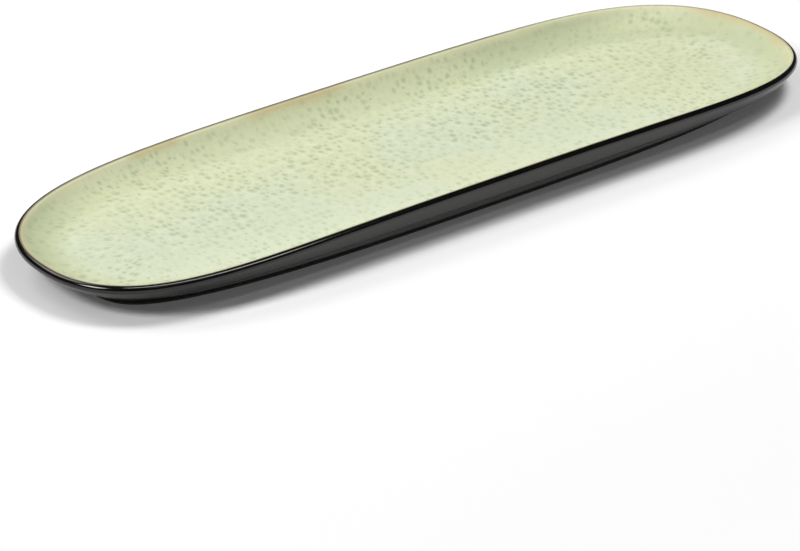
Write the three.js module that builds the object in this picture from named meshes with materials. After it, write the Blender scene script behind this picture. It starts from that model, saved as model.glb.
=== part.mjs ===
import * as THREE from "three";

// A long serving plate of glazed stoneware: a fired clay body, a green coat inside and black coats outside.
// Millimetres. +X runs along the plate, +Y across it, +Z up. It stands on Z = 0, the origin under its middle.

// Overall sizes, over the glaze
const plateLength = 478;
const plateWidth = 145;
const sideHeight = 24.5; // top of the lip at the middle of a long side
const endHeight = 17.4; // top of the lip at the tip of an end
const fallPower = 2.85; // a larger power keeps the lip level for longer before it falls to the ends

// Lip and glaze
const lipThickness = 4.6;
const glazeThickness = 0.5;

// Inside: slope of the wall just below the lip, and how far in from the edge the flat floor begins
const innerSlopeSide = 52;
const innerSlopeEnd = 36;
const floorInsetSide = 21.5;
const floorInsetEnd = 19;
const floorThickness = 6.8;

// Outside: a wall hangs below the lip, turns under at its lower edge and slopes in to the foot ring
const outerLeanSide = 17; // lean of the hanging wall from upright
const outerLeanEnd = 45;
const outerWallSide = 7.9; // height of the hanging wall, without the lip
const outerWallEnd = 2.5;
const turnUnder = 1.1; // the lower edge is rounded over this length on both sides of it

// Foot ring, and how far in from the edge of the plate it stands
const footInsetSide = 15.8;
const footInsetEnd = 21.7;
const footHeight = 2.4; // where the slope under the wall meets it
const footWidth = 6;
const recessDepth = 5; // from the face that it stands on up to the underside within the ring
const footFillet = 0.9; // where the slope under the wall turns down into the ring
const footBevel = 0.5; // on both edges of the face that it stands on
const bareFootHeight = 0.7; // the glaze stops this far above the table

// Plan outlines are superellipses: a high end power straightens the sides, a high side power blunts the ends
const rimPowers = { end: 6.1, side: 2.29 };
const footPowers = { end: 2.8, side: 4.3 };
const floorPowers = { end: 5, side: 2.4 };

// Facets
const stationsPerQuarter = 18;
const outerLipSteps = 4;
const innerLipSteps = 2;
const wallSteps = 5;
const turnSteps = 3;
const underSteps = 3;

// Heights that follow from the sizes above
const lipRadius = lipThickness / 2;
const floorTop = recessDepth + floorThickness;

// Stations run round the plate from the tip of one end, each a share of the half length on one long side.
// They crowd towards the ends, where the outline turns.
function stationsRound() {
  const shares = [];
  for (let step = 0; step <= stationsPerQuarter; step++) {
    shares.push(1 - (step / stationsPerQuarter) ** rimPowers.side);
  }
  const farHalf = shares.map((share) => ({ share, side: 1 }));
  const farReturn = shares.slice(0, -1).reverse().map((share) => ({ share: -share, side: 1 }));
  const far = [...farHalf, ...farReturn];
  const near = far.slice(1, -1).reverse().map(({ share }) => ({ share, side: -1 }));
  return [...far, ...near];
}

// One point of an outline that is inset from the plate's edge
function outlinePoint({ share, side }, insetEnd, insetSide, powers) {
  const halfLength = plateLength / 2 - insetEnd;
  const halfWidth = plateWidth / 2 - insetSide;
  const reach = (1 - Math.abs(share) ** powers.end) ** (1 / powers.side);
  return new THREE.Vector2(halfLength * share, side * halfWidth * reach);
}

const crestPoint = (station) => outlinePoint(station, lipRadius, lipRadius, rimPowers);

const floorPoint = (station) => outlinePoint(station, floorInsetEnd, floorInsetSide, floorPowers);

const footPoint = (station, inward) =>
  outlinePoint(station, footInsetEnd + inward, footInsetSide + inward, footPowers);

// Direction square to the crest line, pointing away from the plate
function outwardAt(station) {
  const crest = crestPoint(station);
  const along = Math.abs(station.share);
  const across = Math.abs(crest.y) / (plateWidth / 2 - lipRadius);
  const slopeX = (rimPowers.end * along ** (rimPowers.end - 1)) / (plateLength / 2 - lipRadius);
  const slopeY = (rimPowers.side * across ** (rimPowers.side - 1)) / (plateWidth / 2 - lipRadius);
  return new THREE.Vector2(Math.sign(station.share) * slopeX, station.side * slopeY).normalize();
}

const raised = (planPoint, height) => new THREE.Vector3(planPoint.x, planPoint.y, height);

// A point moved away from the plate's edge and up
const shifted = (point, outward, reach, rise) =>
  new THREE.Vector3(point.x + outward.x * reach, point.y + outward.y * reach, point.z + rise);

// A value that goes from the middle of a long side to the tip of an end as the lip falls
const blendFall = ({ share }, atSide, atEnd) =>
  THREE.MathUtils.lerp(atSide, atEnd, Math.abs(share) ** fallPower);

// A value given for the long sides and for the ends, blended by which way the rim faces
const blendRound = (station, atSide, atEnd) =>
  THREE.MathUtils.lerp(atSide, atEnd, outwardAt(station).x ** 2);

// The lip's round at one station: a point on it, turned by an angle from level outwards towards straight up
function lipRound(station, depth) {
  const outward = outwardAt(station);
  const radius = lipRadius - depth;
  const centre = raised(crestPoint(station), blendFall(station, sideHeight, endHeight) - lipRadius);
  return (angle) => shifted(centre, outward, radius * Math.cos(angle), radius * Math.sin(angle));
}

// A bend that leaves its start towards a corner and comes to its end from that corner
const bendPoints = (start, corner, end, steps) =>
  new THREE.QuadraticBezierCurve3(start, corner, end).getPoints(steps);

// Inside section from the crest down to the edge of the flat floor, at a depth below the finished surface
function innerSection(station, depth) {
  const slope = THREE.MathUtils.degToRad(blendRound(station, innerSlopeSide, innerSlopeEnd));
  const onLip = lipRound(station, depth);
  const points = [];
  for (let step = 0; step < innerLipSteps; step++) {
    points.push(onLip(Math.PI / 2 + (slope * step) / innerLipSteps));
  }
  const start = onLip(Math.PI / 2 + slope);
  const end = raised(floorPoint(station), floorTop - depth);
  const fall = start.z - end.z;
  const corner = shifted(start, outwardAt(station), -fall / Math.tan(slope), -fall);
  return [...points, ...bendPoints(start, corner, end, wallSteps)];
}

// The lower edge of the outer wall before it is rounded, at a depth below the finished surface
function lowerEdge(station, lean, depth) {
  const outward = outwardAt(station);
  const height = blendFall(station, outerWallSide, outerWallEnd);
  const edge = shifted(lipRound(station, 0)(-lean), outward, -height * Math.tan(lean), -height);
  const footTop = raised(footPoint(station, 0), footHeight);
  const underLean = Math.acos((edge.z - footTop.z) / edge.distanceTo(footTop));
  const halfTurn = (underLean - lean) / 2;
  const reach = depth / Math.cos(halfTurn);
  return shifted(edge, outward, -reach * Math.cos(lean + halfTurn), reach * Math.sin(lean + halfTurn));
}

// Outside section from the crest down to the glaze line on the foot, at a depth below the finished surface
function outerSection(station, depth) {
  const lean = THREE.MathUtils.degToRad(blendFall(station, outerLeanSide, outerLeanEnd));
  const onLip = lipRound(station, depth);
  const points = [];
  for (let step = 0; step <= outerLipSteps; step++) {
    points.push(onLip(Math.PI / 2 - ((Math.PI / 2 + lean) * step) / outerLipSteps));
  }
  const filletRadius = footFillet + depth;
  const fillet = [Math.PI / 6, Math.PI / 3, Math.PI / 2].map((angle) => {
    const inset = filletRadius * Math.sin(angle) - footFillet;
    return raised(footPoint(station, inset), footHeight - footFillet + filletRadius * Math.cos(angle));
  });
  const wallTop = points.at(-1);
  const edge = lowerEdge(station, lean, depth);
  const above = edge.clone().lerp(wallTop, turnUnder / edge.distanceTo(wallTop));
  const below = edge.clone().lerp(fillet[0], turnUnder / edge.distanceTo(fillet[0]));
  points.push(...bendPoints(above, edge, below, turnSteps));
  for (let step = 1; step < underSteps; step++) {
    points.push(below.clone().lerp(fillet[0], step / underSteps));
  }
  points.push(...fillet, raised(footPoint(station, depth), bareFootHeight));
  return points;
}

// Bare foot ring: bevelled face that it stands on, then up its inner side to the underside of the clay
function footSection(station) {
  return [
    raised(footPoint(station, glazeThickness), footBevel),
    raised(footPoint(station, glazeThickness + footBevel), 0),
    raised(footPoint(station, footWidth - footBevel), 0),
    raised(footPoint(station, footWidth), footBevel),
    ...undersideSection(station),
  ];
}

// Edge of the recessed underside: the finished black surface, then the clay that it covers
function undersideSection(station) {
  return [
    raised(footPoint(station, footWidth), recessDepth),
    raised(footPoint(station, footWidth), recessDepth + glazeThickness),
  ];
}

// Rings of points round the plate, one ring for each point of a section
function ringsOf(section) {
  const sections = stationsRound().map(section);
  return sections[0].map((_, row) => sections.map((points) => points[row]));
}

// Facets between two rings, the first nearer the middle of the top. Each four-sided patch is split along its
// shorter diagonal, so a coat and the clay under it share the same facets whichever way they are listed.
function bandFacets(rings, fromRow, toRow) {
  const from = rings[fromRow];
  const to = rings[toRow];
  const count = from.length;
  const facets = [];
  for (let here = 0; here < count; here++) {
    const next = (here + 1) % count;
    const fromHere = fromRow * count + here;
    const fromNext = fromRow * count + next;
    const toHere = toRow * count + here;
    const toNext = toRow * count + next;
    if (from[here].distanceTo(to[next]) < to[here].distanceTo(from[next])) {
      facets.push(fromHere, toHere, toNext, fromHere, toNext, fromNext);
    } else {
      facets.push(fromHere, toHere, fromNext, toHere, toNext, fromNext);
    }
  }
  return facets;
}

// Facets of a level surface that fills a ring, laid across it from one long side to the other
function levelFacets(ring, count, facingUp) {
  const start = ring * count;
  const half = count / 2;
  const facets = [];
  for (let here = 0; here < half; here++) {
    const far = start + here;
    const farNext = start + here + 1;
    const near = start + ((count - here) % count);
    const nearNext = start + count - here - 1;
    if (here < half - 1) {
      facets.push([far, farNext, nearNext]);
    }
    if (here > 0) {
      facets.push([far, nearNext, near]);
    }
  }
  return facets.flatMap((facet) => (facingUp ? facet : facet.reverse()));
}

function solidFrom(rings, facets) {
  const geometry = new THREE.BufferGeometry();
  const places = rings.flat().flatMap((point) => point.toArray());
  geometry.setAttribute("position", new THREE.Float32BufferAttribute(places, 3));
  geometry.setIndex(facets);
  geometry.computeVertexNormals();
  return geometry;
}

// A solid with a level surface on top, rings round it, and a level surface below
function levelSolid(rings) {
  const count = rings[0].length;
  const last = rings.length - 1;
  const facets = levelFacets(0, count, true);
  for (let row = 0; row < last; row++) {
    facets.push(...bandFacets(rings, row, row + 1));
  }
  facets.push(...levelFacets(last, count, false));
  return solidFrom(rings, facets);
}

// A solid that is a closed hoop of rings
function hoopSolid(rings) {
  const facets = rings.flatMap((_, row) => bandFacets(rings, row, (row + 1) % rings.length));
  return solidFrom(rings, facets);
}

function piece(name, geometry, finish) {
  const mesh = new THREE.Mesh(geometry, new THREE.MeshStandardMaterial(finish));
  mesh.name = name;
  return mesh;
}

const bareClay = { color: 0xb39c7d, roughness: 0.9, metalness: 0 };
const celadonGlaze = { color: 0xd6debc, roughness: 0.35, metalness: 0 };
const blackGlaze = { color: 0x0d0d0e, roughness: 0.15, metalness: 0 };

// Finished surfaces, and the clay surfaces one glaze thickness under them
const innerFinish = ringsOf((station) => innerSection(station, 0));
const innerClay = ringsOf((station) => innerSection(station, glazeThickness));
const outerFinish = ringsOf((station) => outerSection(station, 0));
const outerClay = ringsOf((station) => outerSection(station, glazeThickness));
const bareFoot = ringsOf(footSection);
const [undersideFinish, undersideClay] = ringsOf(undersideSection);

// The crest ring ends the inside and starts the outside, so the clay body takes it once
const clayRings = [...innerClay.toReversed(), ...outerClay.slice(1), ...bareFoot];
const innerCoatRings = [...innerFinish.toReversed(), ...innerClay];
const outerCoatRings = [...outerFinish, ...outerClay.toReversed()];

const plate = new THREE.Group();
plate.add(
  piece("stoneware_body", levelSolid(clayRings), bareClay),
  piece("inner_glaze", levelSolid(innerCoatRings), celadonGlaze),
  piece("outer_glaze", hoopSolid(outerCoatRings), blackGlaze),
  piece("base_glaze", levelSolid([undersideClay, undersideFinish]), blackGlaze),
);

export default plate;
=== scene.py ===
import math

import bpy
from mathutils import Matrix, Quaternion, Vector


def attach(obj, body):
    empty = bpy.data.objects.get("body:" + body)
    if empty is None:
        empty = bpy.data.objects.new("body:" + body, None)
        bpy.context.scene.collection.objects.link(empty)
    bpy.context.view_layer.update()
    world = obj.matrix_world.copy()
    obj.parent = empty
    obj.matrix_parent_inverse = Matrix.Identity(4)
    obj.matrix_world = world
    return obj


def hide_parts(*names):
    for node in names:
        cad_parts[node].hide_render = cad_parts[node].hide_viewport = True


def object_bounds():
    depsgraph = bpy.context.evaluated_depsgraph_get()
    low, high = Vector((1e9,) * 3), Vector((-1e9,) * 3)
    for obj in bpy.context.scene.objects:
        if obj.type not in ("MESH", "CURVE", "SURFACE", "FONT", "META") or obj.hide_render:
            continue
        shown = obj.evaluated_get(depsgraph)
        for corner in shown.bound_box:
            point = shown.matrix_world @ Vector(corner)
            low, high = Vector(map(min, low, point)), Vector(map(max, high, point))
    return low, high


# The looks of a long serving plate of glazed stoneware, in metres and in the frame of the CAD part.

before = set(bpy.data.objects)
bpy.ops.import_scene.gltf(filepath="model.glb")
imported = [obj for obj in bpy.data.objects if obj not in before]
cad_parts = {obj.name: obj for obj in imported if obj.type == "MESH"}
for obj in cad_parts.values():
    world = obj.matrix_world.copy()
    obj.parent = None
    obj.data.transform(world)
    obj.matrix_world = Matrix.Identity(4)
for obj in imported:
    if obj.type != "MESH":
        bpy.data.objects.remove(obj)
cadLow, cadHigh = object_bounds()
scene = bpy.context.scene
print("frame loaded:", sorted(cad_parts))


# Node helpers

class Wire:
    # a node output that takes part in sums, so that a rule reads here as it would on paper
    def __init__(self, tree, socket):
        self.tree = tree
        self.socket = socket

    def maths(self, operation, *others):
        return sumNode(self.tree, operation, self, *others)

    def __add__(self, other):
        return self.maths("ADD", other)

    def __sub__(self, other):
        return self.maths("SUBTRACT", other)

    def __rsub__(self, other):
        return sumNode(self.tree, "SUBTRACT", other, self)

    def __mul__(self, other):
        return self.maths("MULTIPLY", other)

    def __truediv__(self, other):
        return self.maths("DIVIDE", other)

    def __rtruediv__(self, other):
        return sumNode(self.tree, "DIVIDE", other, self)

    def __pow__(self, other):
        return self.maths("POWER", other)

    __radd__ = __add__
    __rmul__ = __mul__


def plug(tree, socket, value):
    if isinstance(value, Wire):
        tree.links.new(value.socket, socket)
    elif isinstance(value, bpy.types.NodeSocket):
        tree.links.new(value, socket)
    else:
        socket.default_value = value


def addNode(tree, kind, plugs=None, **settings):
    node = tree.nodes.new(kind)
    for name, value in settings.items():
        setattr(node, name, value)
    for socket, value in (plugs or {}).items():
        plug(tree, node.inputs[socket], value)
    return node


def sumNode(tree, operation, *terms):
    node = addNode(tree, "ShaderNodeMath", operation=operation)
    for socket, value in zip(node.inputs, terms):
        plug(tree, socket, value)
    return Wire(tree, node.outputs[0])


def joinXyz(tree, place):
    return addNode(tree, "ShaderNodeCombineXYZ", dict(zip("XYZ", place))).outputs[0]


# The plate's shape, as one rule that all four pieces follow

plate = {
    "length": cadHigh.x - cadLow.x,
    "width": cadHigh.y - cadLow.y,
    "sideHeight": cadHigh.z,       # top of the lip at the middle of a long side
    "endHeight": 0.0174,           # and at the tip of an end
    "fallPower": 2.85,             # higher keeps the lip level for longer
    "lipThickness": 0.0046,
    "glaze": 0.0005,
    "innerSlopeSide": 52.0,        # degrees, just under the lip
    "innerSlopeEnd": 36.0,
    "floorInsetSide": 0.0215,
    "floorInsetEnd": 0.019,
    "floorTop": 0.0118,
    "outerLeanSide": 17.0,         # degrees from upright, of the wall that hangs below the lip
    "outerLeanEnd": 45.0,
    "outerWallSide": 0.0079,       # height of that wall
    "outerWallEnd": 0.0025,
    "turnUnder": 0.0011,           # rounding of its lower edge
    "footInsetSide": 0.0158,
    "footInsetEnd": 0.0217,
    "footHeight": 0.0024,
    "footWidth": 0.006,
    "recessDepth": 0.005,          # up to the underside within the ring
    "footFillet": 0.0009,
    "footBevel": 0.0005,
    "bareFoot": 0.0007,            # the glaze stops this far above the table
    "rimEnd": 6.1,                 # powers of the outlines: ends high for straight sides
    "rimSide": 2.29,
    "footEnd": 2.8,
    "footSide": 4.3,
    "floorEnd": 5.0,
    "floorSide": 2.4,
}
facets = {
    "round": 288,
    "lip": 10,
    "wall": 22,
    "turn": 8,
    "under": 6,
    "floor": 14,
    "fillet": 6,
    "bevel": 4,
    "flat": 2,
}
joins = {
    "mergeWithin": 0.000001,       # points this close to each other are one
    "crispAbove": 40,              # degrees between faces, past which an edge stays sharp
}
quarterTurn = math.pi / 2


class Shape:
    # one geometry tree: the fields of a station on the rim, and the patches laid on them
    def __init__(self, name):
        tree = bpy.data.node_groups.new(name, "GeometryNodeTree")
        tree.interface.new_socket("Geometry", in_out="OUTPUT", socket_type="NodeSocketGeometry")
        for label, value in plate.items():
            socket = tree.interface.new_socket(label, in_out="INPUT", socket_type="NodeSocketFloat")
            socket.default_value = value
        entry = tree.nodes.new("NodeGroupInput")
        self.tree = tree
        self.size = {label: Wire(tree, entry.outputs[label]) for label in plate}
        self.patches = []
        here = addNode(tree, "GeometryNodeInputPosition").outputs[0]
        split = addNode(tree, "ShaderNodeSeparateXYZ", {0: here})
        self.around = Wire(tree, split.outputs["X"]) + 0.5
        self.t = Wire(tree, split.outputs["Y"]) + 0.5       # 0 to 1 across a patch
        self.station()

    def station(self):
        size = self.size
        turn = self.around * math.tau
        self.end = turn.maths("COSINE").maths("SIGN")
        self.side = turn.maths("SINE").maths("SIGN")
        fromTip = (self.around * 4).maths("PINGPONG", 1.0)
        self.along = 1 - fromTip ** size["rimSide"]          # share of the half length
        self.lipRadius = size["lipThickness"] / 2
        self.crest = self.outline(self.lipRadius, self.lipRadius, "rim")
        reach = (1 - self.along ** size["rimEnd"]) ** (1 / size["rimSide"])
        halfLength = size["length"] / 2 - self.lipRadius
        halfWidth = size["width"] / 2 - self.lipRadius
        slopeX = size["rimEnd"] * self.along ** (size["rimEnd"] - 1) / halfLength
        slopeY = size["rimSide"] * reach ** (size["rimSide"] - 1) / halfWidth
        steep = (slopeX ** 2 + slopeY ** 2).maths("SQRT")
        self.outX = self.end * slopeX / steep
        self.outY = self.side * slopeY / steep
        self.endness = self.outX ** 2
        self.fallen = self.along ** size["fallPower"]
        self.crestHeight = size["sideHeight"] - (size["sideHeight"] - size["endHeight"]) * self.fallen

    def outline(self, insetEnd, insetSide, powers):
        size = self.size
        reach = (1 - self.along ** size[powers + "End"]) ** (1 / size[powers + "Side"])
        x = self.end * self.along * (size["length"] / 2 - insetEnd)
        y = self.side * reach * (size["width"] / 2 - insetSide)
        return [x, y]

    def foot(self, inward):
        return self.outline(self.size["footInsetEnd"] + inward, self.size["footInsetSide"] + inward, "foot")

    def blend(self, label, share):
        atSide, atEnd = self.size[label + "Side"], self.size[label + "End"]
        return atSide + (atEnd - atSide) * share

    def shifted(self, point, reach, rise):
        return [point[0] + self.outX * reach, point[1] + self.outY * reach, point[2] + rise]

    def onLip(self, angle, depth):
        # angle from level outwards, over straight up, to the inside
        radius = self.lipRadius - depth
        centre = self.crest + [self.crestHeight - self.lipRadius]
        reach = sumNode(self.tree, "COSINE", angle) * radius
        rise = sumNode(self.tree, "SINE", angle) * radius
        return self.shifted(centre, reach, rise)

    def bend(self, start, corner, finish):
        early = (1 - self.t) ** 2
        middle = self.t * (1 - self.t) * 2
        late = self.t ** 2
        return [a * early + b * middle + c * late for a, b, c in zip(start, corner, finish)]

    def between(self, start, finish, share):
        return [a + (b - a) * share for a, b in zip(start, finish)]

    def straight(self, start, finish):
        return self.between(start, finish, self.t)

    def gap(self, a, b):
        total = sum(((p - q) ** 2 for p, q in zip(a, b)), start=0.0)
        return total.maths("SQRT")

    def lay(self, rows, place, flip=False, marks=None):
        # a grid with the marks kept on its points, then moved to where the rule says
        tree = self.tree
        counts = {"Vertices X": facets["round"] + 1, "Vertices Y": rows + 1, "Size X": 1.0, "Size Y": 1.0}
        mesh = addNode(tree, "GeometryNodeMeshGrid", counts).outputs["Mesh"]
        for name, value in (marks or {}).items():
            isVector = isinstance(value, list)
            kind = "FLOAT_VECTOR" if isVector else "FLOAT"
            value = joinXyz(tree, value) if isVector else value
            plugs = {"Geometry": mesh, "Name": name, "Value": value}
            mesh = addNode(tree, "GeometryNodeStoreNamedAttribute", plugs, data_type=kind).outputs[0]
        plugs = {"Geometry": mesh, "Position": joinXyz(tree, place)}
        mesh = addNode(tree, "GeometryNodeSetPosition", plugs).outputs[0]
        if flip:
            mesh = addNode(tree, "GeometryNodeFlipFaces", {"Mesh": mesh}).outputs[0]
        self.patches.append(mesh)

    def finish(self, material):
        tree = self.tree
        join = addNode(tree, "GeometryNodeJoinGeometry")
        for mesh in self.patches:
            tree.links.new(mesh, join.inputs[0])
        plugs = {"Geometry": join.outputs[0], "Distance": joins["mergeWithin"]}
        whole = addNode(tree, "GeometryNodeMergeByDistance", plugs)
        smooth = addNode(tree, "GeometryNodeSetShadeSmooth", {"Geometry": whole.outputs[0]})
        single = addNode(tree, "GeometryNodeRealizeInstances", {"Geometry": smooth.outputs[0]})
        plugs = {"Geometry": single.outputs[0], "Material": material}
        painted = addNode(tree, "GeometryNodeSetMaterial", plugs)
        out = tree.nodes.new("NodeGroupOutput")
        tree.links.new(painted.outputs[0], out.inputs[0])
        return self.settle()

    def settle(self):
        # the tree's result as a plain mesh, with crisp edges kept where it turns sharply
        name = self.tree.name
        piece = bpy.data.objects.new(name, bpy.data.meshes.new(name))
        scene.collection.objects.link(piece)
        modifier = piece.modifiers.new("shape", "NODES")
        modifier.node_group = self.tree
        for item in self.tree.interface.items_tree:
            if item.in_out == "INPUT":
                modifier[item.identifier] = plate[item.name]
        depsgraph = bpy.context.evaluated_depsgraph_get()
        mesh = bpy.data.meshes.new_from_object(piece.evaluated_get(depsgraph), depsgraph=depsgraph)
        piece.modifiers.clear()
        piece.data = mesh
        mesh.name = name
        mesh.set_sharp_from_angle(angle=math.radians(joins["crispAbove"]))
        print(name, "has", len(mesh.polygons), "faces")
        return piece


# how the glaze's pattern is laid out: along the plate, and fanned out round each end
fan = {
    "centre": 0.140,               # of each fan, from the middle of the plate
    "radius": 0.060,               # where the pattern keeps its size
    "apart": 0.5,                  # shifts the two fans, so that the ends differ
    "stretchSide": 1.1,            # how far the wall is drawn out where it is laid flat
    "stretchEnd": 0.7,
}


def flattenWall(shape, edge, place):
    # the wall unrolled round the floor, so that a pattern runs on over both
    stretch = fan["stretchSide"] + shape.endness * (fan["stretchEnd"] - fan["stretchSide"])
    climb = shape.gap(edge, place) * stretch
    return [edge[0] + shape.outX * climb, edge[1] + shape.outY * climb]


def patternMarks(shape, below, flat):
    # what the glaze reads on the mesh: the way down from the crest, and the two layouts
    flatX, flatY = flat
    fromFan = flatX.maths("ABSOLUTE") - fan["centre"]
    around = flatY.maths("ARCTAN2", fromFan) * fan["radius"] + shape.end * fan["apart"]
    outwards = (flatY ** 2 + fromFan ** 2).maths("SQRT")
    return {"belowCrest": below, "unrolled": [flatX, flatY, 0.0], "fanned": [around, outwards, 0.0]}


def layInside(shape, depth, flip, marks):
    # from the crest over the inner half of the lip, down the wall and across the floor
    size = shape.size
    slope = shape.blend("innerSlope", shape.endness).maths("RADIANS")
    edge = shape.outline(size["floorInsetEnd"], size["floorInsetSide"], "floor") + [size["floorTop"] - depth]
    start = shape.onLip(slope + quarterTurn, depth)
    fall = start[2] - edge[2]
    corner = shape.shifted(start, 0 - fall / slope.maths("TANGENT"), 0 - fall)
    lip = shape.onLip(slope * shape.t + quarterTurn, depth)
    wall = shape.bend(start, corner, edge)
    floor = shape.straight(edge, [0.0, 0.0, edge[2]])
    lipLength = slope * shape.lipRadius
    for rows, place, below in (
        (facets["lip"], lip, lipLength * shape.t),
        (facets["wall"], wall, lipLength + shape.gap(start, wall)),
        (facets["floor"], floor, lipLength + shape.gap(start, edge) + shape.gap(edge, floor)),
    ):
        kept = None
        if marks:
            flat = floor[:2] if place is floor else flattenWall(shape, edge, place)
            kept = patternMarks(shape, below, flat)
        shape.lay(rows, place, flip, kept)


def lowerEdge(shape, lean, depth):
    # where the hanging wall turns under, before it is rounded
    size = shape.size
    tall = shape.blend("outerWall", shape.fallen)
    edge = shape.shifted(shape.onLip(0 - lean, 0.0), 0 - tall * lean.maths("TANGENT"), 0 - tall)
    footTop = shape.foot(0.0) + [size["footHeight"]]
    underLean = ((edge[2] - footTop[2]) / shape.gap(edge, footTop)).maths("ARCCOSINE")
    halfTurn = (underLean - lean) / 2
    reach = depth / halfTurn.maths("COSINE")
    middle = lean + halfTurn
    return shape.shifted(edge, 0 - reach * middle.maths("COSINE"), reach * middle.maths("SINE"))


def layOutside(shape, depth, flip, marks):
    # over the outer half of the lip, down the hanging wall, under it and into the side of the foot
    size = shape.size
    lean = shape.blend("outerLean", shape.fallen).maths("RADIANS")
    radius = size["footFillet"] + depth
    hollowLean = math.pi / 6       # where the underside runs into the hollow above the foot

    def hollowAt(angle):
        inset = sumNode(shape.tree, "SINE", angle) * radius - size["footFillet"]
        rise = sumNode(shape.tree, "COSINE", angle) * radius
        return shape.foot(inset) + [size["footHeight"] - size["footFillet"] + rise]

    turn = lean + quarterTurn
    wallTop = shape.onLip(0 - lean, depth)
    edge = lowerEdge(shape, lean, depth)
    hollowTop = hollowAt(hollowLean)
    above = shape.between(edge, wallTop, size["turnUnder"] / shape.gap(edge, wallTop))
    below = shape.between(edge, hollowTop, size["turnUnder"] / shape.gap(edge, hollowTop))
    lipLength = turn * shape.lipRadius
    edgeAt = lipLength + shape.gap(wallTop, edge)
    hollowStart = edgeAt + shape.gap(edge, hollowTop)
    wall = shape.straight(wallTop, above)
    under = shape.straight(below, hollowTop)
    for rows, place, down in (
        (facets["lip"] * 2, shape.onLip(quarterTurn - turn * shape.t, depth), lipLength * shape.t),
        (facets["under"], wall, lipLength + shape.gap(wallTop, wall)),
        (facets["turn"], shape.bend(above, edge, below), edgeAt),
        (facets["under"], under, edgeAt + shape.gap(edge, under)),
        (facets["fillet"], hollowAt(shape.t * (quarterTurn - hollowLean) + hollowLean), hollowStart),
    ):
        shape.lay(rows, place, flip, {"belowCrest": down} if marks else None)


# Finishes

def startMaterial(name, **constants):
    material = bpy.data.materials.new(name)
    material.use_nodes = True
    tree = material.node_tree
    shader = tree.nodes["Principled BSDF"]
    for socket, value in constants.items():
        shader.inputs[socket.replace("_", " ")].default_value = value
    return material, tree, shader


def objectPlace(tree):
    return addNode(tree, "ShaderNodeTexCoord").outputs["Object"]


def mark(tree, name, output="Fac"):
    return addNode(tree, "ShaderNodeAttribute", attribute_name=name).outputs[output]


def noise(tree, place, size, detail=2.0, seed=0.0, output=0):
    plugs = {"Vector": place, "W": seed, "Scale": 1 / size, "Detail": detail}
    made = addNode(tree, "ShaderNodeTexNoise", plugs, noise_dimensions="4D").outputs[output]
    return Wire(tree, made) if output == 0 else made


def fade(tree, value, start, finish, low=0.0, high=1.0):
    plugs = {"Value": value, "From Min": start, "From Max": finish, "To Min": low, "To Max": high}
    node = addNode(tree, "ShaderNodeMapRange", plugs, interpolation_type="SMOOTHSTEP")
    return Wire(tree, node.outputs["Result"])


def mixColour(tree, amount, first, second):
    node = addNode(tree, "ShaderNodeMix", data_type="RGBA")
    for socket, value in zip((node.inputs[0], node.inputs[6], node.inputs[7]), (amount, first, second)):
        plug(tree, socket, value)
    return node.outputs[2]


def awayFrom(tree, place, x, y):
    # distance from a place at the height of the lip
    plugs = {0: place, 1: (x, y, plate["sideHeight"])}
    return addNode(tree, "ShaderNodeVectorMath", plugs, operation="DISTANCE").outputs["Value"]


def shiftPlace(tree, place, size, reach, seed):
    # moves a pattern about a little, so that its shapes aren't regular
    wander = noise(tree, place, size, 1.0, seed, output=1)
    centred = addNode(tree, "ShaderNodeVectorMath", {0: wander, 1: (0.5, 0.5, 0.5)}, operation="SUBTRACT")
    scaled = addNode(tree, "ShaderNodeVectorMath", {0: centred.outputs[0], "Scale": reach}, operation="SCALE")
    plugs = {0: place, 1: scaled.outputs[0]}
    return addNode(tree, "ShaderNodeVectorMath", plugs, operation="ADD").outputs[0]


def setBump(tree, shader, height, strength, depth=0.0002):
    plugs = {"Height": height, "Strength": strength, "Distance": depth}
    plug(tree, shader.inputs["Normal"], addNode(tree, "ShaderNodeBump", plugs).outputs[0])


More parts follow.
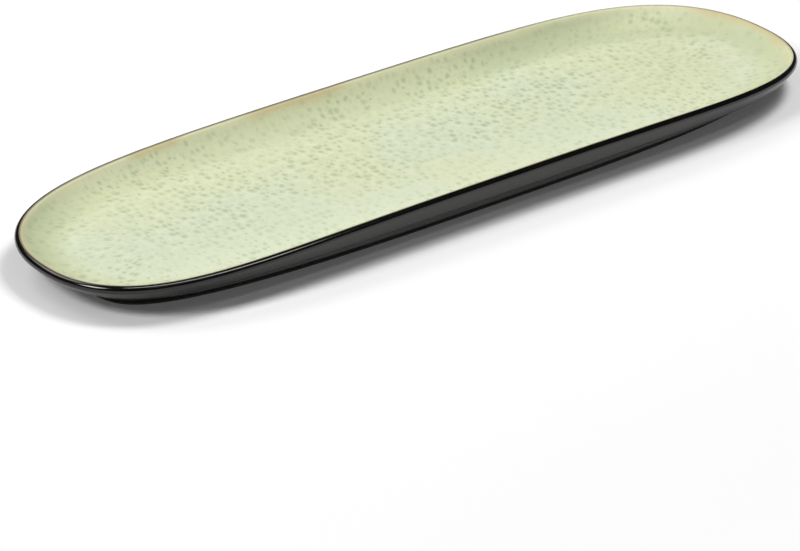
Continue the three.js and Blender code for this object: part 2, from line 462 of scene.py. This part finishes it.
celadonLook = {
    "yellowGreen": (0.722, 0.757, 0.505, 1),
    "blueGreen": (0.698, 0.762, 0.566, 1),
    # the dapples' green, also used for painted shade on the wall
    "spotAndShade": (0.435, 0.505, 0.310, 1),
    # pale: between the dapples, and painted sheen on the near side
    "pale": (0.800, 0.840, 0.640, 1),
    "olive": (0.672, 0.712, 0.438, 1),
    "tan": (0.690, 0.575, 0.310, 1),
    "bisque": (0.745, 0.660, 0.450, 1),
    "cream": (0.830, 0.825, 0.540, 1),
    "seam": (0.130, 0.105, 0.065, 1),
    # dapples
    "spotSpacing": 0.0041,
    "spotRadius": 0.00133,
    "spotStretch": 1.28,           # they are longer across the plate than along it
    "spotScatter": 0.92,
    "spotSizes": (0.55, 1.35),     # smallest and largest, as shares of the radius
    "spotStrengths": (0.10, 1.0),  # faintest and deepest
    "spotSoftness": 1.6,           # radii out to which one fades
    "spotAmount": 0.80,
    "smallSpots": (0.60, 0.55, 0.35),   # spacing, radius and depth, as shares of the large ones'
    "wander": (0.005, 0.0024),     # size and reach of what makes them irregular
    "fray": (0.0012, 0.0006),
    "fanFrom": (0.160, 0.200),     # how far along the plate they turn into the fan
    "patchSize": 0.050,            # of the places where they are fainter
    "netAmount": 0.5,              # of the pale lines between them
    # greens
    "poolSize": 0.070,             # of the drifts from yellow green to blue green
    "poolAlong": 0.35,             # bluer toward -x, and toward -y as painted sheen
    "paintedSheenAcross": 2.2,
    "paintedSheenNear": 0.47,              # painted sheen: paler toward -y, and more so toward -x
    "paintedSheenAlong": 0.6,
    "wallReach": 0.029,            # how far from the lip it is warmer than on the floor, and darker as painted shade
    "wallOliveAndShade": 0.75,
    "paintedShadeFrom": (0.012, 0.020),     # below the crest: painted shade along the foot of the wall
    "paintedShadeTo": (0.040, 0.025),
    "paintedShadeAmount": 0.17,             # of that painted shade, on the side toward +y, and more so toward +x
    "paintedShadeAlong": 0.75,
    # painted shade on the wall: x and y of the place, how far it goes, and how deep
    "paintedShadePlaces": (
        (0.128, 0.062, 0.075, 0.45),
        (-0.214, 0.034, 0.056, 0.45),
        (0.228, 0.010, 0.060, 0.30),
    ),
    # lip
    "tanReach": 0.0090,            # how far down the wall the glaze is thin
    "thinAmount": 0.8,
    "bisqueFrom": (-0.140, -0.200),     # toward this end the clay shows paler
    # where along the lip the clay shows through most: x and y of the place, and how far it goes
    "warmPlaces": (
        (-0.236, 0.008, 0.060),
        (-0.122, 0.070, 0.022),
        (-0.030, 0.070, 0.042),
        (0.236, 0.010, 0.050),
    ),
    "seamReach": 0.0013,           # how far the black has bled over the lip
    "seamFade": (0.090, 0.160, 0.75, 0.30),   # from where to where it gets weaker, and its strengths
    # surface
    "peelSize": 0.0016,
    "peelStrength": 0.25,
    "roughness": (0.40, 0.16),     # the least, and how much more it can be
}


def dapples(tree, place, spacing, radius, seed):
    # soft round spots of uneven size and strength, one to a cell
    look = celadonLook
    moved = addNode(tree, "ShaderNodeVectorMath", {0: place, 1: (seed, seed, 0.0)}, operation="ADD")
    plugs = {"Vector": moved.outputs[0], "Scale": 1 / spacing, "Randomness": look["spotScatter"]}
    cell = addNode(tree, "ShaderNodeTexVoronoi", plugs, voronoi_dimensions="2D")
    chance = addNode(tree, "ShaderNodeSeparateColor", {0: cell.outputs["Color"]})
    smallest, largest = look["spotSizes"]
    grow = Wire(tree, chance.outputs[0]) * (largest - smallest) + smallest
    distance = Wire(tree, cell.outputs["Distance"])
    share = distance * (spacing / radius) / grow
    strength = fade(tree, Wire(tree, chance.outputs[1]), 0.0, 0.8, *look["spotStrengths"])
    return fade(tree, share, look["spotSoftness"], 0.0) * strength, distance


def layDapples(tree, place, seed):
    # two sizes of spot, drawn out across the plate, and how far each point is from a large one
    look = celadonLook
    spacing, radius = look["spotSpacing"], look["spotRadius"]
    closer, smaller, fainter = look["smallSpots"]
    squeeze = {0: place, 1: (1.0, 1 / look["spotStretch"], 1.0)}
    squeezed = addNode(tree, "ShaderNodeVectorMath", squeeze, operation="MULTIPLY").outputs[0]
    wandering = shiftPlace(tree, squeezed, *look["wander"], seed)
    fraying = shiftPlace(tree, wandering, *look["fray"], seed + 0.5)
    large, distance = dapples(tree, fraying, spacing, radius, 0.0)
    small, _ = dapples(tree, fraying, spacing * closer, radius * smaller, 0.37)
    return large + small * fainter, distance


def paintGreens(tree, place, below, lengthwise, crosswise):
    # the greens, with dapples where the glaze has pooled, and how deep it is in them
    look = celadonLook
    drift = noise(tree, place, look["poolSize"], seed=1.0)
    # the pull toward -y is painted sheen
    pool = drift - crosswise * look["paintedSheenAcross"] - lengthwise * look["poolAlong"]
    ground = mixColour(tree, fade(tree, pool, 0.38, 0.62), look["yellowGreen"], look["blueGreen"])
    atEnd = fade(tree, lengthwise.maths("ABSOLUTE"), *look["fanFrom"])
    midSpots, midDistance = layDapples(tree, mark(tree, "unrolled", "Vector"), 2.0)
    endSpots, endDistance = layDapples(tree, mark(tree, "fanned", "Vector"), 2.7)
    spots = midSpots + (endSpots - midSpots) * atEnd
    distance = midDistance + (endDistance - midDistance) * atEnd
    patchy = fade(tree, noise(tree, place, look["patchSize"], seed=3.0), 0.30, 0.62, 0.40, 1.0)
    onWall = fade(tree, below, look["wallReach"], look["wallReach"] * 0.40)
    paintedSheenSide = fade(tree, crosswise, 0.0, -0.055)
    farSide = fade(tree, crosswise, 0.0, 0.040)
    # dapples fainter on the near side under the painted sheen
    deep = spots.maths("MINIMUM", 1.0) * patchy * (1 + onWall * 0.15 - paintedSheenSide * 0.25)
    # pale between the dapples, painted sheen on the near side, warmer glaze and painted shade on the wall
    net = fade(tree, distance, 0.40, 0.85) * look["netAmount"]
    paintedSheenNear = paintedSheenSide * (look["paintedSheenNear"] - lengthwise * look["paintedSheenAlong"])
    ground = mixColour(tree, net.maths("MAXIMUM", paintedSheenNear), ground, look["pale"])
    # warmer glaze on the wall, darkened as painted shade
    ground = mixColour(tree, onWall * look["wallOliveAndShade"], ground, look["olive"])
    # painted shade at the foot of the far wall, in the dapples' green
    footOfWall = fade(tree, below, *look["paintedShadeFrom"]) * fade(tree, below, *look["paintedShadeTo"])
    paintedShade = footOfWall * farSide * (look["paintedShadeAmount"] + lengthwise * look["paintedShadeAlong"])
    ground = mixColour(tree, paintedShade, ground, look["spotAndShade"])
    # painted shade at a few places on the wall
    for x, y, radius, amount in look["paintedShadePlaces"]:
        near = fade(tree, awayFrom(tree, place, x, y), radius, radius * 0.3)
        ground = mixColour(tree, near * onWall * amount, ground, look["spotAndShade"])
    return mixColour(tree, deep * look["spotAmount"], ground, look["spotAndShade"]), deep


def paintLip(tree, place, below, lengthwise, ground):
    # thin glaze along the lip lets the clay's warmth through, here and there
    look = celadonLook
    ragged = noise(tree, place, 0.030, 3.0, 4.0)
    reach = fade(tree, ragged, 0.30, 0.72, 0.55, 1.0) * look["tanReach"]
    thin = fade(tree, below / reach, 1.0, 0.15)
    warm = fade(tree, noise(tree, place, 0.060, 2.0, 5.0), 0.50, 0.66) * 0.5
    for x, y, radius in look["warmPlaces"]:
        warm = warm.maths("MAXIMUM", fade(tree, awayFrom(tree, place, x, y), radius, radius * 0.5))
    clayTint = mixColour(tree, fade(tree, lengthwise, *look["bisqueFrom"]), look["tan"], look["bisque"])
    lip = mixColour(tree, warm, look["cream"], clayTint)
    ground = mixColour(tree, thin * look["thinAmount"], ground, lip)
    # a brown line where the black glaze meets it, weaker at one end
    reach = (ragged * 0.6 + 0.7) * look["seamReach"]
    strength = fade(tree, lengthwise, *look["seamFade"])
    return mixColour(tree, fade(tree, below / reach, 1.0, 0.35) * strength, ground, look["seam"])


def makeCeladon():
    look = celadonLook
    material, tree, shader = startMaterial("celadonGlaze")
    place = objectPlace(tree)
    below = Wire(tree, mark(tree, "belowCrest"))
    axes = addNode(tree, "ShaderNodeSeparateXYZ", {0: place})
    lengthwise, crosswise = Wire(tree, axes.outputs["X"]), Wire(tree, axes.outputs["Y"])
    ground, deep = paintGreens(tree, place, below, lengthwise, crosswise)
    plug(tree, shader.inputs["Base Color"], paintLip(tree, place, below, lengthwise, ground))
    least, more = look["roughness"]
    plug(tree, shader.inputs["Roughness"], noise(tree, place, 0.02, 3.0, 7.0) * more + least)
    peel = noise(tree, place, look["peelSize"], seed=6.0)
    setBump(tree, shader, peel * 0.5 - deep * 0.5, look["peelStrength"])
    return material


blackLook = {
    "glaze": (0.0022, 0.0022, 0.0024, 1),
    "brown": (0.0060, 0.0044, 0.0034, 1),
    "edge": (0.16, 0.11, 0.065, 1),
    "glint": (1.0, 0.975, 0.93, 1),
    "cloudSize": 0.018,            # of the brown places
    "edgeReach": 0.0007,           # how far down from the crest it has broken to brown
    "edgeAmount": 0.7,
    "roughness": (0.07, 0.10),     # the least, and how much more it can be
    "rippleSize": 0.0018,
    "rippleStrength": 0.10,
}


def makeBlackGlaze():
    look = blackLook
    material, tree, shader = startMaterial("blackGlaze", Specular_Tint=look["glint"])
    place = objectPlace(tree)
    below = Wire(tree, mark(tree, "belowCrest"))
    cloud = noise(tree, place, look["cloudSize"], 4.0, 11.0)
    ground = mixColour(tree, fade(tree, cloud, 0.52, 0.75), look["glaze"], look["brown"])
    ragged = noise(tree, place, 0.012, 3.0, 12.0) * look["edgeReach"]
    broken = fade(tree, below / (ragged + 0.00001), 1.0, 0.2)     # never divides by nothing
    ground = mixColour(tree, broken * look["edgeAmount"], ground, look["edge"])
    plug(tree, shader.inputs["Base Color"], ground)
    least, more = look["roughness"]
    plug(tree, shader.inputs["Roughness"], noise(tree, place, 0.010, 3.0, 13.0) * more + least)
    setBump(tree, shader, noise(tree, place, look["rippleSize"], seed=14.0), look["rippleStrength"])
    return material


clayLook = {
    "light": (0.52, 0.40, 0.27, 1),
    "dark": (0.36, 0.25, 0.15, 1),
    "speck": (0.06, 0.035, 0.02, 1),
    "footDark": (0.012, 0.009, 0.007, 1),
    "cloudSize": 0.009,
    "gritSpacing": 0.0022,
    "bareHeight": 0.0003,          # above the table: from here up it is near black
    "roughness": (0.78, 0.15),     # the least, and how much more it can be
    "sandSize": 0.0007,
    "sandStrength": 0.5,
}


def makeBareClay():
    look = clayLook
    material, tree, shader = startMaterial("bareStoneware", Specular_IOR_Level=0.3)
    place = objectPlace(tree)
    cloud = noise(tree, place, look["cloudSize"], 5.0, 21.0)
    ground = mixColour(tree, fade(tree, cloud, 0.35, 0.65), look["light"], look["dark"])
    plugs = {"Vector": place, "Scale": 1 / look["gritSpacing"], "Randomness": 1.0}
    grit = Wire(tree, addNode(tree, "ShaderNodeTexVoronoi", plugs).outputs["Distance"])
    ground = mixColour(tree, fade(tree, grit, 0.16, 0.09), ground, look["speck"])
    # near black on the edges of the foot ring, above its bearing face
    height = Wire(tree, addNode(tree, "ShaderNodeSeparateXYZ", {0: place}).outputs["Z"])
    ground = mixColour(tree, fade(tree, height, 0.0, look["bareHeight"]), ground, look["footDark"])
    plug(tree, shader.inputs["Base Color"], ground)
    least, more = look["roughness"]
    plug(tree, shader.inputs["Roughness"], cloud * more + least)
    setBump(tree, shader, noise(tree, place, look["sandSize"], 4.0, 22.0), look["sandStrength"])
    return material


# Four pieces: the fired clay and the coats that are fused to it

def makeBody(material):
    shape = Shape("stonewareBody")
    size = shape.size
    glaze, bevel, recess = size["glaze"], size["footBevel"], size["recessDepth"]
    layInside(shape, glaze, False, False)
    layOutside(shape, glaze, True, False)
    outer = shape.foot(glaze)
    inner = shape.foot(size["footWidth"])
    corners = [
        outer + [size["footHeight"] - size["footFillet"]],
        outer + [bevel],
        shape.foot(glaze + bevel) + [0.0],
        shape.foot(size["footWidth"] - bevel) + [0.0],
        inner + [bevel],
        inner + [recess + glaze],
        [0.0, 0.0, recess + glaze],
    ]
    shape.lay(facets["flat"], shape.straight(corners[0], corners[1]), True)
    shape.lay(facets["bevel"], shape.bend(corners[1], outer + [0.0], corners[2]), True)
    shape.lay(facets["flat"], shape.straight(corners[2], corners[3]), True)
    shape.lay(facets["bevel"], shape.bend(corners[3], inner + [0.0], corners[4]), True)
    shape.lay(facets["flat"], shape.straight(corners[4], corners[5]), True)
    shape.lay(facets["floor"], shape.straight(corners[5], corners[6]), True)
    return shape.finish(material)


def crestSeam(shape):
    # the coat's own edge, on top of the lip
    return shape.straight(shape.onLip(quarterTurn, 0.0), shape.onLip(quarterTurn, shape.size["glaze"]))


def makeInnerCoat(material):
    shape = Shape("celadonCoat")
    layInside(shape, 0.0, False, True)
    layInside(shape, shape.size["glaze"], True, False)
    shape.lay(1, crestSeam(shape), True)
    return shape.finish(material)


def makeOuterCoat(material):
    shape = Shape("blackCoat")
    size = shape.size
    glaze, bare = size["glaze"], size["bareFoot"]
    layOutside(shape, 0.0, True, True)
    layOutside(shape, glaze, False, False)
    top = size["footHeight"] - size["footFillet"]
    skirt = bare + glaze
    outer, inner = shape.foot(0.0), shape.foot(glaze)
    shape.lay(facets["flat"], shape.straight(outer + [top], outer + [skirt]), True)
    shape.lay(facets["bevel"], shape.bend(outer + [skirt], outer + [bare], inner + [bare]), True)
    shape.lay(facets["flat"], shape.straight(inner + [top], inner + [bare]), False)
    shape.lay(1, crestSeam(shape), False)
    return shape.finish(material)


def makeBaseCoat(material):
    shape = Shape("baseCoat")
    size = shape.size
    low, high = size["recessDepth"], size["recessDepth"] + size["glaze"]
    rim = shape.foot(size["footWidth"])
    middle = [0.0, 0.0]
    shape.lay(facets["floor"], shape.straight(rim + [low], middle + [low]), True)
    shape.lay(1, shape.straight(rim + [high], rim + [low]), True)
    shape.lay(facets["floor"], shape.straight(rim + [high], middle + [high]), False)
    return shape.finish(material)


bareClay, celadon, blackGlaze = makeBareClay(), makeCeladon(), makeBlackGlaze()
print("finishes made:", bareClay.name, celadon.name, blackGlaze.name)
pieces = (
    (makeBody(bareClay), "stoneware_body", "bare_stoneware"),
    (makeInnerCoat(celadon), "inner_glaze", "celadon_glaze"),
    (makeOuterCoat(blackGlaze), "outer_glaze", "black_glaze"),
    (makeBaseCoat(blackGlaze), "base_glaze", "black_glaze"),
)
for piece, node, slot in pieces:
    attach(piece, "root")
    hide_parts(node)


# Floor, lamps and camera

studio = {
    "floorSize": 12.0,
    "floorColour": (0.985, 0.985, 0.985, 1),
    "floorRoughness": 0.8,
    "floorGlow": 0.06,             # share of plain white that the camera and reflections see in it
    "glowRange": (0.29, 0.56),     # it rises to all white between these distances from the plate's middle
    "worldLight": 0.05,
    "lampsAway": 2.2,
    # turn round from +X and tilt above the table in degrees, then size and power
    "lamps": {
        "leftBox": {"turn": 173, "tilt": 41, "size": (0.65, 0.66), "watts": 23.0},
        # leaves no glint along the lip
        "rightBox": {"turn": -8, "tilt": 62, "size": (0.85, 0.85), "watts": 28.0, "glints": False},
        "backBox": {"turn": 108, "tilt": 47, "size": (1.3, 0.75), "watts": 10.6},
        "frontStrip": {"turn": -90, "tilt": 57, "size": (2.0, 0.15), "watts": 2.8},
        # turned about its own beam, shows in the gloss and adds no light
        "topStrip": {
            "turn": -77, "tilt": 76, "size": (2.2, 0.35), "watts": 34.0, "slant": -48, "lights": False,
        },
    },
}
view = {
    "turn": -37.891,               # degrees round from straight in front, and above the table
    "tilt": 26.869,
    "distance": 2.2808,
    "aim": (-0.1134, -0.1277, 0.0245),
    "lens": 210.45,
    "sensor": 36,
    "farthest": 50,
}
plainWhite = (1, 1, 1, 1)


def makeFloor():
    half = studio["floorSize"] / 2
    corners = [(-half, -half, 0), (half, -half, 0), (half, half, 0), (-half, half, 0)]
    mesh = bpy.data.meshes.new("studioFloor")
    mesh.from_pydata(corners, [], [(0, 1, 2, 3)])
    material, tree, shader = startMaterial(
        "paleFloor",
        Base_Color=studio["floorColour"],
        Roughness=studio["floorRoughness"],
        Specular_IOR_Level=0.0,
    )
    path = addNode(tree, "ShaderNodeLightPath")
    seen = Wire(tree, path.outputs["Is Camera Ray"])
    for ray in ("Is Glossy Ray", "Is Transmission Ray"):
        seen = seen.maths("MAXIMUM", Wire(tree, path.outputs[ray]))
    white = addNode(tree, "ShaderNodeEmission", {"Color": plainWhite, "Strength": 1.0})
    length = addNode(tree, "ShaderNodeVectorMath", {0: objectPlace(tree)}, operation="LENGTH")
    glow = fade(tree, length.outputs["Value"], *studio["glowRange"], studio["floorGlow"], 1.0)
    plugs = {0: seen * glow, 1: shader.outputs[0], 2: white.outputs[0]}
    mixed = addNode(tree, "ShaderNodeMixShader", plugs)
    tree.links.new(mixed.outputs[0], tree.nodes["Material Output"].inputs["Surface"])
    mesh.materials.append(material)
    floor = bpy.data.objects.new("studioFloor", mesh)
    scene.collection.objects.link(floor)


def makeLamps():
    for name, lamp in studio["lamps"].items():
        light = bpy.data.lights.new(name, "AREA")
        light.shape = "RECTANGLE"
        light.size, light.size_y = lamp["size"]
        light.energy = lamp["watts"]
        turn, tilt = math.radians(lamp["turn"]), math.radians(lamp["tilt"])
        toward = Vector((math.cos(turn) * math.cos(tilt), math.sin(turn) * math.cos(tilt), math.sin(tilt)))
        holder = bpy.data.objects.new(name, light)
        holder.location = toward * studio["lampsAway"]
        slant = Quaternion((0, 0, 1), math.radians(lamp.get("slant", 0)))
        holder.rotation_euler = ((-toward).to_track_quat("-Z", "Y") @ slant).to_euler()
        holder.visible_glossy = lamp.get("glints", True)
        holder.visible_diffuse = lamp.get("lights", True)
        scene.collection.objects.link(holder)


def makeWorld():
    # white where the camera looks past the floor, dim for the plate
    world = bpy.data.worlds.new("studio")
    world.use_nodes = True
    tree = world.node_tree
    backdrop = tree.nodes["Background"]
    backdrop.inputs["Color"].default_value = plainWhite
    straight = Wire(tree, addNode(tree, "ShaderNodeLightPath").outputs["Is Camera Ray"])
    plug(tree, backdrop.inputs["Strength"], straight * (1 - studio["worldLight"]) + studio["worldLight"])
    scene.world = world


def makeCamera():
    turn, tilt = math.radians(view["turn"]), math.radians(view["tilt"])
    back = Vector((math.sin(turn) * math.cos(tilt), -math.cos(turn) * math.cos(tilt), math.sin(tilt)))
    camera = bpy.data.cameras.new("camera")
    camera.lens = view["lens"]
    camera.sensor_width = view["sensor"]
    camera.clip_end = view["farthest"]
    holder = bpy.data.objects.new("camera", camera)
    holder.location = Vector(view["aim"]) + back * view["distance"]
    holder.rotation_euler = (-back).to_track_quat("-Z", "Y").to_euler()
    scene.collection.objects.link(holder)
    scene.camera = holder


makeFloor()
makeLamps()
makeWorld()
makeCamera()
scene.view_settings.view_transform = "Standard"
print("floor, lamps and camera in place")
